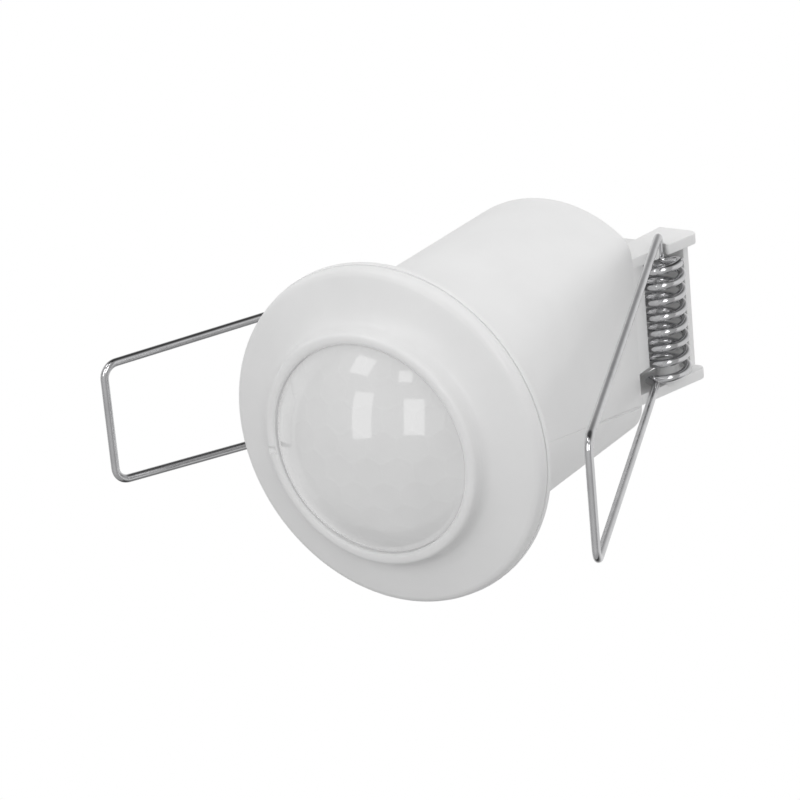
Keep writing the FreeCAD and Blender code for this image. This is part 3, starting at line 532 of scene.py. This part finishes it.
def clip_bracket(side):
    """One clip's bay: a slotted lug, a lug with a spigot, the back wall, the roof and the tab."""
    pieces = []
    for end in (1, -1):
        low, high = sorted((LUG_INNER * end, (LUG_INNER + LUG_THICKNESS) * end))
        outline = lug_outline(side, slotted=end != side)
        pieces.append(prism("lug", outline, low, high, BODY_WHITE))
    pivot = (PIVOT.x * side, PIVOT.y)
    root, tip = (LUG_INNER + SPIGOT_ROOT) * side, (LUG_INNER - SPIGOT_LENGTH) * side
    pieces.append(rod("spigot", pivot, SPIGOT_RADIUS, root, tip, BODY_WHITE, axis="Y"))
    half = LUG_INNER + WALL_END
    sunk = BODY_LENGTH - SUNK
    for x, y, z in (
        ((BAY_FRONT, BAY_BACK), (-half, half), (sunk, BRACKET_TOP)),
        ((BAY_FRONT, PLATE_REACH), (-half, half), (BRACKET_TOP - PLATE, BRACKET_TOP)),
        ((REAR_FLAT - TAB_DEPTH, REAR_FLAT), (-half, TAB_END), (sunk, TAB_TOP)),
    ):
        across, along = sorted(v * side for v in x), sorted(v * side for v in y)
        pieces.append(slab("bracket", across, along, z, BODY_WHITE))
    return pieces


def flat_crease(side):
    """A spindle lying in the skin along one edge of a clip side's flat, thin towards the flange."""
    centre, _ = rear_corner(0)
    front = Vector((math.cos(FLAT_START), math.sin(FLAT_START), 0)) * FRONT_RADIUS
    rear = Vector((REAR_FLAT, centre.y, BODY_LENGTH))
    along = (rear - front).normalized()
    across = along.orthogonal().normalized()
    around = along.cross(across)
    rings = []
    for share, radius in ((0.1, 0.03), (0.93, CREASE_RADIUS), (0.985, 0.05)):
        middle = front.lerp(rear, share)
        angles = [math.radians(30 * k) for k in range(12)]
        points = [middle + (across * math.cos(a) + around * math.sin(a)) * radius for a in angles]
        rings.append([(p.x * side, p.y * side, p.z) for p in points])
    return solid("crease", *skin(rings), BODY_WHITE)


def housing():
    """The body with its two clip brackets, its knob holes and the opening for the terminals."""
    body = housing_tube()
    combine(body, [piece for side in (1, -1) for piece in clip_bracket(side)], "UNION")
    above = BODY_LENGTH + 0.1
    cutters = [
        rod("hole", (x, KNOB_Y), KNOB_HOLE, BELOW_DECK, above, BODY_WHITE, flare=KNOB_CHAMFER)
        for x in (KNOB_X, -KNOB_X)
    ]
    opening = ((-OPENING_X, OPENING_X), (-OPENING_Y, OPENING_Y), (BELOW_DECK, ABOVE_DECK))
    cutters.append(slab("opening", *opening, BODY_WHITE, soften=0))
    cutters += [flat_crease(1), flat_crease(-1)]
    combine(body, cutters, "DIFFERENCE")
    weighted(shade(body))
    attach(body, "sensor")
    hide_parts("housing")


# ---------------------------------------------------------------- bezel and lens

LENS_RADIUS, LENS_EDGE, LENS_APEX, LENS_WALL, LENS_RIM = 15.85, 7.0, 15.3, 1.0, 16.9
RIM_FRONT, RIM_BACK = -5.1, -4.1
CELL_PITCH, CELL_REACH, CELL_DEPTH, BORDER_WIDTH = 4.5, 2.6, 0.3, 0.55
COLLAR_FRONT = 7.6
NOTCH_RADIUS, NOTCH_ANGLE = 0.6, math.radians(-8)
NOTCH_OUTSIDE, NOTCH_INSIDE = -18.6, -16.3

# The bezel's section as radius and height, from its rim over the collar to the hidden skirt.
BEZEL_FACE = [
    (25.72, -1.01),
    (25.86, -1.25),
    (25.8, -1.9),
    (25.5, -2.5),
    (24.95, -2.9),
    (24.2, -3.15),
    (22.2, -3.7),
    (20.2, -4.3),
    (18.9, -4.95),
    (18.25, -5.65),
    (17.95, -6.4),
    (17.8, -7.0),
    (17.5, -7.42),
    (17.0, -7.58),
    (16.5, -7.55),
    (16.15, -7.35),
    (16.05, -7.0),
    (16.05, -5.2),
]
BEZEL_SKIRT = [(17.05, -5.2), (17.05, 2.0), (17.95, 2.0), (17.95, -1.0)]


def bezel():
    """The snap-on ring: rounded rim, shallow cone, collar round the lens, and its hidden skirt."""
    ring = lathe("bezel_ring", smooth_line(BEZEL_FACE, 8) + BEZEL_SKIRT, BEZEL_WHITE)
    across = (NOTCH_RADIUS, NOTCH_OUTSIDE, NOTCH_INSIDE)
    notch = rod("notch", (0, -COLLAR_FRONT), *across, BEZEL_WHITE, axis="X", sides=48)
    notch.data.transform(Matrix.Rotation(NOTCH_ANGLE, 4, "Z"))
    combine(ring, [notch], "DIFFERENCE")
    shade(ring, 40)
    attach(ring, "sensor")
    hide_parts("front_bezel")


def cell_relief(along, angle):
    """How far a place on the dome stands out of its lens cell: 0 at the middle, 1 at most."""
    x, y = along * math.cos(angle), along * math.sin(angle)
    row_height = CELL_PITCH * math.sqrt(3) / 2
    nearest_row = round(y / row_height)
    distances = []
    for row in (nearest_row - 1, nearest_row, nearest_row + 1):
        shift = 0.5 * CELL_PITCH if row % 2 else 0.0
        column = round((x - shift) / CELL_PITCH)
        for c in (column - 1, column, column + 1):
            distances.append(math.hypot(x - c * CELL_PITCH - shift, y - row * row_height))
    distances.sort()
    nearest, second = distances[:2]
    border = math.exp(-(((second - nearest) / BORDER_WIDTH) ** 2))
    return min(1.0, 0.6 * (nearest / CELL_REACH) ** 2 + 0.4 * border)


def lens():
    """The dome: smooth outside, with the cells of the lens moulded into its inner face."""
    rise = LENS_APEX - LENS_EDGE
    sphere = (LENS_RADIUS**2 + rise**2) / (2 * rise)
    centre = sphere - LENS_APEX
    inner_sphere, inner_radius = sphere - LENS_WALL, LENS_RADIUS - LENS_WALL
    segments, rows = 360, 84
    angles = [2 * math.pi * k / segments for k in range(segments)]
    vertices, relief, faces = [], [], []

    def dome(radius, depth, edge_angle):
        """Rows of points from the edge to the middle; gives the first and the last index."""
        first = len(vertices)
        for row in range(rows, 0, -1):
            polar = edge_angle * row / rows
            for a in angles:
                height = cell_relief(sphere * polar, a)
                r = radius + depth * height
                across, z = r * math.sin(polar), centre - r * math.cos(polar)
                vertices.append((across * math.cos(a), across * math.sin(a), z))
                relief.append(height)
        vertices.append((0, 0, centre - radius))
        relief.append(0.0)
        return first, len(vertices) - 1

    outer, outer_apex = dome(sphere, 0.0, math.asin(LENS_RADIUS / sphere))
    inner, inner_apex = dome(inner_sphere, CELL_DEPTH, math.asin(inner_radius / inner_sphere))
    rim = len(vertices)
    for radius, z in (
        (LENS_RADIUS, RIM_FRONT),
        (LENS_RIM, RIM_FRONT),
        (LENS_RIM, RIM_BACK),
        (inner_radius, RIM_BACK),
    ):
        vertices.extend((radius * math.cos(a), radius * math.sin(a), z) for a in angles)
        relief.extend([0.0] * segments)

    def band(a, b):
        for k in range(segments):
            following = (k + 1) % segments
            faces.append((a + k, a + following, b + following, b + k))

    for start, apex in ((outer, outer_apex), (inner, inner_apex)):
        for row in range(rows - 1):
            band(start + row * segments, start + (row + 1) * segments)
        last = start + (rows - 1) * segments
        faces.extend((last + k, last + (k + 1) % segments, apex) for k in range(segments))
    band(outer, rim)
    for step in range(3):
        band(rim + step * segments, rim + (step + 1) * segments)
    band(rim + 3 * segments, inner)
    made = solid("lens_shell", vertices, faces, LENS_MILK)
    attribute = made.data.attributes.new("cell_relief", "FLOAT", "POINT")
    attribute.data.foreach_set("value", relief)
    shade(made, 40)
    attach(made, "sensor")
    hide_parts("lens_dome")


# ---------------------------------------------------------------- spring clips

WIRE_RADIUS, COIL_RADIUS, COIL_PITCH, COIL_TURNS = 0.625, 3.15, 2.5, 7.2917
COIL_START, BAIL_LENGTH = 9.3, 71.0
PIN_ROOT, PIN_TIP = 13.3, 9.4
COIL_LEG_ROOT, COIL_LEG_TIP = 8.65, 9.0
PIN_CORNER, BAIL_CORNER, CRANK_CORNER = 1.0, 2.2, 0.75
COIL_EXIT_CORNER, LEG_CORNER = 0.8, 1.5
# The coil's exit, outwards from the leg's root, along the leg and off the pivot; then the leg's bend.
COIL_EXIT_OUT, COIL_EXIT_ALONG, COIL_EXIT_RADIUS = 0.35, 2.4, 3.2
LEG_BEND = (6.2, 0.9)
RIGHT_REST, LEFT_REST = math.radians(20.5), math.radians(22.8)
# Where the bail meets the coil's two ends, along the pivot and along the leg.
PIN_SEAM, LEG_SEAM = 11.0, 9.0


def rounded_line(points, radii, steps=10):
    """A line through 3D points with each inner corner replaced by an arc."""
    line = [points[0]]
    for before, corner, after, radius in zip(points, points[1:], points[2:], radii):
        back, ahead = (before - corner).normalized(), (after - corner).normalized()
        half_angle = back.angle(ahead) / 2
        centre = corner + (back + ahead).normalized() * (radius / math.sin(half_angle))
        start = corner + back * (radius / math.tan(half_angle)) - centre
        end = corner + ahead * (radius / math.tan(half_angle)) - centre
        for step in range(steps + 1):
            line.append(centre + start.slerp(end, step / steps) * radius)
    line.append(points[-1])
    return line


def with_stations(line, longest=4.0):
    """The same line with long straight runs divided."""
    divided = [line[0]]
    for start, end in zip(line, line[1:]):
        count = max(1, math.ceil((end - start).length / longest))
        divided.extend(start.lerp(end, (k + 1) / count) for k in range(count))
    return divided


def wire(name, line, sides=18):
    """A round wire along a line, its ends closed flat."""
    rings = []
    up = None
    for index, point in enumerate(line):
        before, after = line[max(index - 1, 0)], line[min(index + 1, len(line) - 1)]
        ahead = (after - before).normalized()
        if up is None:
            up = ahead.orthogonal().normalized()
        up = (up - ahead * up.dot(ahead)).normalized()
        across = ahead.cross(up)
        angles = [2 * math.pi * k / sides for k in range(sides)]
        spokes = [up * math.cos(a) + across * math.sin(a) for a in angles]
        rings.append([tuple(point + spoke * WIRE_RADIUS) for spoke in spokes])
    return shade(solid(name, *skin(rings), WIRE), 50)


def clip(name, side, rest):
    """
    One clip. The bail turns with the clip's body; the coil is made as two halves from its middle:
    its near end cranks in to the pin, its far end turns back into the leg inside the other lug.
    """
    pivot = Vector((PIVOT.x * side, 0, PIVOT.y))
    along = Vector((side * math.sin(rest), 0, -math.cos(rest)))
    across = Vector((0, side, 0))
    around = across.cross(along)

    def place(u, v, w=0.0):
        return pivot + across * u + along * v + around * w

    def turned(turns):
        """A point on the coil's centre line, counted in turns from its near end."""
        angle = math.radians(360 * turns - 90)
        u = COIL_PITCH * turns - COIL_START
        return place(u, COIL_RADIUS * math.cos(angle), COIL_RADIUS * math.sin(angle))

    bend = place(COIL_LEG_ROOT, *LEG_BEND)
    corner = place(COIL_LEG_ROOT + COIL_EXIT_OUT, COIL_EXIT_ALONG, COIL_EXIT_RADIUS)
    far_tip = place(COIL_LEG_TIP, BAIL_LENGTH)
    seam = bend + (far_tip - bend).normalized() * LEG_SEAM
    plan = [place(-PIN_SEAM, 0), place(-PIN_ROOT, 0), place(-PIN_TIP, BAIL_LENGTH), far_tip, seam]
    corners = [PIN_CORNER, BAIL_CORNER, BAIL_CORNER]
    bail = wire(f"{name}_bail", with_stations(rounded_line(plan, corners)))
    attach(bail, f"{name}_clip")
    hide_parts(f"{name}_clip")

    steps = 60
    middle = COIL_START / COIL_PITCH
    near_steps, far_steps = int(steps * middle), int(steps * (COIL_TURNS - middle))
    near = [turned(middle - k / steps) for k in range(near_steps)]
    crank = [near[-1], turned(0), place(-COIL_START, 0), place(-PIN_SEAM, 0)]
    near += rounded_line(crank, [CRANK_CORNER, CRANK_CORNER], 8)[1:]
    far = [turned(middle + k / steps) for k in range(far_steps)]
    leg = [turned(COIL_TURNS), corner, bend, seam]
    far += rounded_line(leg, [COIL_EXIT_CORNER, LEG_CORNER], 8)
    far_end = COIL_LEG_ROOT - WIRE_RADIUS
    for part, line, end in (("near", near, -COIL_START), ("far", far, far_end)):
        half = wire(f"{name}_coil_{part}", line)
        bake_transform(half)
        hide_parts(f"{name}_coil")


# ---------------------------------------------------------------- the CAD's own pieces

SOFTENED = {
    "terminal_cover": 0.25,
    "terminal_block": 0.15,
    "relay": 0.3,
    "film_capacitor": 0.4,
    "signal_chip": 0.12,
}


def finish_carried_over():
    """Gives each CAD node that stays its own finish and softened edges."""
    for name, finish in CARRIED_OVER.items():
        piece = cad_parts[name]
        piece.data.materials.clear()
        piece.data.materials.append(finish)
        for polygon in piece.data.polygons:
            polygon.material_index = 0
        if name in SOFTENED:
            flat = piece.modifiers.new("flat_faces", "DECIMATE")
            flat.decimate_type = "DISSOLVE"
            flat.angle_limit = math.radians(1.0)
            edge = piece.modifiers.new("soft_edges", "BEVEL")
            edge.width = SOFTENED[name] * MM
            edge.segments = 2
            edge.limit_method = "ANGLE"
            edge.angle_limit = math.radians(40)
            weighted(piece)


# ---------------------------------------------------------------- camera, light and floor

CAMERA_AT = Vector((0.30009, -0.21699, -0.44566))
CAMERA_TURN = (155.2971, -31.7501, 5.8207)
SENSOR_WIDTH, FOCAL_LENGTH = 36, 180.74
LIT_PLACE = Vector((0.0, 0.0, 0.02))
FLOOR_REACH, FLOOR_HEIGHT = 12000, -1400

# Name, azimuth, elevation, distance, size and radiance of the windows that the gloss shows.
WINDOWS = [
    ("window_right_low", 3, 4, 1.3, (0.40, 0.70), 2.9),
    ("window_right_high", -5, 39, 1.6, (0.30, 0.28), 2.9),
    ("window_left_low", -42, 5, 1.3, (0.40, 0.86), 2.5),
    ("window_left_high", -55, 44, 1.6, (0.50, 0.40), 2.5),
]
# Panels that only give soft light.
FILLS = [
    ("overhead", 50, 62, 1.6, (1.5, 1.2), 0.73),
    ("top", 0, 84, 1.6, (1.6, 1.6), 0.49),
    ("upper_left", -60, 55, 1.6, (1.4, 1.4), 0.18),
    ("right", 85, 0, 1.6, (1.4, 1.4), 0.86),
    ("lower_right", 60, -50, 1.6, (1.4, 1.4), 0.18),
    ("lower_back", 150, -40, 1.6, (1.4, 1.4), 0.65),
]


def add_camera():
    """Places the camera and gives the directions of its right, up and back as columns."""
    data = bpy.data.cameras.new("camera")
    data.sensor_width = SENSOR_WIDTH
    data.lens = FOCAL_LENGTH
    data.clip_start, data.clip_end = 0.05, 50
    camera = bpy.data.objects.new("camera", data)
    camera.location = CAMERA_AT
    camera.rotation_euler = [math.radians(a) for a in CAMERA_TURN]
    SCENE.collection.objects.link(camera)
    SCENE.camera = camera
    bpy.context.view_layer.update()
    return camera.matrix_world.to_3x3()


def softbox(view, mirrored, name, azimuth, elevation, distance, size, radiance):
    """
    A soft panel facing the object, placed by its angles from the camera's own right, up and back.
    Only a mirrored one shows as a reflection.
    """
    a, e = math.radians(azimuth), math.radians(elevation)
    direction = view @ Vector((math.sin(a) * math.cos(e), math.sin(e), math.cos(a) * math.cos(e)))
    data = bpy.data.lights.new(name, "AREA")
    data.shape = "RECTANGLE"
    data.size, data.size_y = size
    data.energy = radiance * math.pi * size[0] * size[1]
    lamp = bpy.data.objects.new(name, data)
    lamp.location = LIT_PLACE + direction * distance
    lamp.visible_glossy = mirrored
    back, up = direction, view @ Vector((0, 1, 0))
    right = up.cross(back).normalized()
    lamp.rotation_euler = Matrix((right, back.cross(right), back)).transposed().to_euler()
    SCENE.collection.objects.link(lamp)


def add_world(view):
    """
    White behind the object. For diffuse light a soft gradient, brightest from above; for
    reflections one that is bright all round the object and dark above and below it.
    """
    world = bpy.data.worlds.new("studio")
    SCENE.world = world
    world.use_nodes = True
    nodes, link = world.node_tree.nodes, world.node_tree.links.new
    nodes.clear()
    direction = nodes.new("ShaderNodeTexCoord").outputs["Generated"]
    rays = nodes.new("ShaderNodeLightPath").outputs

    def backdrop():
        background = nodes.new("ShaderNodeBackground")
        background.inputs["Color"].default_value = (1, 1, 1, 1)
        return background

    def gradient(axis, start, end, low, high, both_ways=False):
        """A backdrop whose strength runs from low to high with the cosine to a view axis."""
        toward = nodes.new("ShaderNodeVectorMath")
        toward.operation = "DOT_PRODUCT"
        toward.inputs[1].default_value = (view @ Vector(axis)).normalized()
        link(direction, toward.inputs[0])
        cosine = toward.outputs["Value"]
        if both_ways:
            size = nodes.new("ShaderNodeMath")
            size.operation = "ABSOLUTE"
            link(cosine, size.inputs[0])
            cosine = size.outputs["Value"]
        ramp = nodes.new("ShaderNodeMapRange")
        sockets = ("From Min", "From Max", "To Min", "To Max")
        for socket, number in zip(sockets, (start, end, low, high)):
            ramp.inputs[socket].default_value = number
        link(cosine, ramp.inputs["Value"])
        background = backdrop()
        link(ramp.outputs["Result"], background.inputs["Strength"])
        return background.outputs["Background"]

    def chosen(ray, otherwise, when):
        """One backdrop for a kind of ray and another for the rest."""
        mix = nodes.new("ShaderNodeMixShader")
        link(rays[ray], mix.inputs["Fac"])
        link(otherwise, mix.inputs[1])
        link(when, mix.inputs[2])
        return mix.outputs["Shader"]

    diffuse = gradient((0.0, 1.0, 0.0), -0.9, 0.9, 0.0, 0.71)
    gloss = gradient((0.0, 1.0, 0.1), 0.4, 0.9, 0.8, 0.06, both_ways=True)
    white = backdrop().outputs["Background"]
    lit = chosen("Is Camera Ray", chosen("Is Glossy Ray", diffuse, gloss), white)
    link(lit, nodes.new("ShaderNodeOutputWorld").inputs["Surface"])


def add_floor():
    """A plain pale floor well below the object."""
    pale = ((0.86, 0.86, 0.86), (0.90, 0.90, 0.90))
    finish = surface("floor_pale", *pale, (0.6, 0.8), cloud=3, grain=60, bump=0.2)
    signs = ((-1, -1), (1, -1), (1, 1), (-1, 1))
    corners = [(x * FLOOR_REACH, y * FLOOR_REACH, FLOOR_HEIGHT) for x, y in signs]
    solid("floor", corners, [(0, 1, 2, 3)], finish)


def studio():
    view = add_camera()
    add_world(view)
    for window in WINDOWS:
        softbox(view, True, *window)
    for fill in FILLS:
        softbox(view, False, *fill)
    add_floor()
    SCENE.view_settings.view_transform = "Standard"
    SCENE.view_settings.look = "None"


studio()
housing()
bezel()
lens()
clip("right", 1, RIGHT_REST)
clip("left", -1, LEFT_REST)
finish_carried_over()
